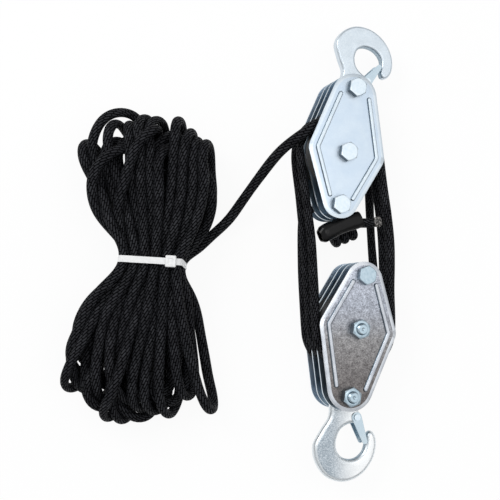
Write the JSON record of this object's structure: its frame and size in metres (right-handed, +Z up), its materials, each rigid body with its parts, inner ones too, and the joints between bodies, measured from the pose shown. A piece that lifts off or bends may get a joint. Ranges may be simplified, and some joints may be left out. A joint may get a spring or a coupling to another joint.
{
  "type": "block and tackle",
  "caption": "Rope hoist: two plate-sided pulley blocks with latch hooks, black rope reeved between them, and the spare rope tied in a hank.",
  "frame": {"origin": "on the floor under the middle of the box round the two blocks, their hooks and the rope between them", "axes": "+Z up from the floor; +Y from the lower block to the upper block, along the tackle; +X to the side away from the spare rope"},
  "size_m": [0.3328, 0.4596, 0.0744],
  "materials": {
    "zinc_plated_steel": "pale bluish zinc plating, satin",
    "galvanised_steel": "dip galvanised, mottled",
    "bright_steel": "bright zinc-plated fasteners",
    "nylon_black": "moulded black nylon",
    "rope_black": "black laid polypropylene fibre",
    "sleeve_black": "smooth black plastic",
    "nylon_white": "natural white nylon",
    "bronze": "sintered bronze"
  },
  "bodies": {
    "upper_block": {"upper_back_plate": "zinc_plated_steel", "upper_inner_back_plate": "zinc_plated_steel", "upper_inner_front_plate": "zinc_plated_steel", "upper_front_plate": "zinc_plated_steel", "upper_hook_bolt": "bright_steel", "upper_hook_nut": "bright_steel", "upper_axle_bolt": "bright_steel", "upper_axle_nut": "bright_steel", "upper_becket_bolt": "bright_steel", "upper_becket_nut": "bright_steel", "upper_bush_a": "bronze", "upper_hook_spacer_a": "bright_steel", "upper_bush_b": "bronze", "upper_becket_spacer_b": "bright_steel", "upper_bush_c": "bronze", "upper_hook_spacer_c": "bright_steel", "upper_becket_spacer_c": "bright_steel", "reeved_rope": "rope_black", "becket_knot": "rope_black", "knot_sleeve": "sleeve_black", "hank": "rope_black", "hank_tie": "nylon_white", "tail": "rope_black"},
    "lower_block": {"lower_back_plate": "zinc_plated_steel", "lower_inner_back_plate": "zinc_plated_steel", "lower_inner_front_plate": "zinc_plated_steel", "lower_front_plate": "galvanised_steel", "lower_hook_bolt": "bright_steel", "lower_hook_nut": "bright_steel", "lower_axle_bolt": "bright_steel", "lower_axle_nut": "bright_steel", "lower_becket_bolt": "bright_steel", "lower_becket_nut": "bright_steel", "lower_bush_a": "bronze", "lower_hook_spacer_a": "bright_steel", "lower_becket_spacer_a": "bright_steel", "lower_bush_b": "bronze", "lower_becket_spacer_b": "bright_steel", "lower_bush_c": "bronze", "lower_hook_spacer_c": "bright_steel", "lower_becket_spacer_c": "bright_steel"},
    "upper_sheave_a_roller": {"upper_sheave_a": "nylon_black"},
    "upper_sheave_b_roller": {"upper_sheave_b": "nylon_black"},
    "upper_sheave_c_roller": {"upper_sheave_c": "nylon_black"},
    "upper_swivel_hook": {"upper_hook": "zinc_plated_steel", "upper_latch_pin": "bright_steel", "upper_latch_spring": "bright_steel"},
    "upper_latch": {"upper_hook_latch": "zinc_plated_steel"},
    "lower_sheave_a_roller": {"lower_sheave_a": "nylon_black"},
    "lower_sheave_b_roller": {"lower_sheave_b": "nylon_black"},
    "lower_sheave_c_roller": {"lower_sheave_c": "nylon_black"},
    "lower_swivel_hook": {"lower_hook": "zinc_plated_steel", "lower_latch_pin": "bright_steel", "lower_latch_spring": "bright_steel"},
    "lower_latch": {"lower_hook_latch": "zinc_plated_steel"}
  },
  "joints": [
    {"name": "hoist_travel", "type": "slide", "parent": "upper_block", "child": "lower_block", "axis": [0.0522, -0.9986, 0.001], "range_m": [-0.012, 0.3], "deforming": ["reeved_rope"]},
    {"name": "lower_sheave_a_spin", "type": "hinge", "parent": "lower_block", "child": "lower_sheave_a_roller", "pos_m": [-0.00131, -0.07916, 0.02056], "axis": [0.3002, -0.0433, 0.9529], "range_deg": [-452.6, 22.9]},
    {"name": "upper_sheave_a_spin", "type": "hinge", "parent": "upper_block", "child": "upper_sheave_a_roller", "pos_m": [-0.01047, 0.09604, 0.02038], "axis": [0.3002, -0.0433, 0.9529], "range_deg": [-900.2, 40.8]},
    {"name": "lower_sheave_b_spin", "type": "hinge", "parent": "lower_block", "child": "lower_sheave_b_roller", "pos_m": [0.00319, -0.07981, 0.03485], "axis": [0.3002, -0.0433, 0.9529], "range_deg": [-1347.9, 58.7]},
    {"name": "upper_sheave_b_spin", "type": "hinge", "parent": "upper_block", "child": "upper_sheave_b_roller", "pos_m": [-0.00597, 0.09539, 0.03468], "axis": [0.3002, -0.0433, 0.9529], "range_deg": [-1795.5, 76.6]},
    {"name": "lower_sheave_c_spin", "type": "hinge", "parent": "lower_block", "child": "lower_sheave_c_roller", "pos_m": [0.0077, -0.08045, 0.04915], "axis": [0.3002, -0.0433, 0.9529], "range_deg": [-2243.1, 94.5]},
    {"name": "upper_sheave_c_spin", "type": "hinge", "parent": "upper_block", "child": "upper_sheave_c_roller", "pos_m": [-0.00147, 0.09474, 0.04897], "axis": [0.3002, -0.0433, 0.9529], "range_deg": [-2690.7, 112.4]},
    {"name": "upper_hook_swing", "type": "hinge", "parent": "upper_block", "child": "upper_swivel_hook", "pos_m": [0.00344, 0.16072, 0.03468], "axis": [0.3002, -0.0433, 0.9529], "range_deg": [-25, 99]},
    {"name": "upper_latch_hinge", "type": "hinge", "parent": "upper_swivel_hook", "child": "upper_latch", "pos_m": [0.02269, 0.17262, 0.02915], "axis": [0.3002, -0.0433, 0.9529], "range_deg": [0, 40], "stiffness_Nm_per_rad": 0.03, "springref_deg": -20.05},
    {"name": "lower_hook_swing", "type": "hinge", "parent": "lower_block", "child": "lower_swivel_hook", "pos_m": [-0.00622, -0.14513, 0.03485], "axis": [0.3002, -0.0433, 0.9529], "range_deg": [-95, 35]},
    {"name": "lower_latch_hinge", "type": "hinge", "parent": "lower_swivel_hook", "child": "lower_latch", "pos_m": [0.00812, -0.16689, 0.02935], "axis": [0.3002, -0.0433, 0.9529], "range_deg": [-40, 0], "stiffness_Nm_per_rad": 0.03, "springref_deg": 20.05}
  ],
  "couplings": [
    {"joint": "lower_sheave_a_spin", "follows": "hoist_travel", "rad_per_m": -26.042},
    {"joint": "upper_sheave_a_spin", "follows": "hoist_travel", "rad_per_m": -52.083},
    {"joint": "lower_sheave_b_spin", "follows": "hoist_travel", "rad_per_m": -78.125},
    {"joint": "upper_sheave_b_spin", "follows": "hoist_travel", "rad_per_m": -104.17},
    {"joint": "lower_sheave_c_spin", "follows": "hoist_travel", "rad_per_m": -130.21},
    {"joint": "upper_sheave_c_spin", "follows": "hoist_travel", "rad_per_m": -156.25}
  ]
}
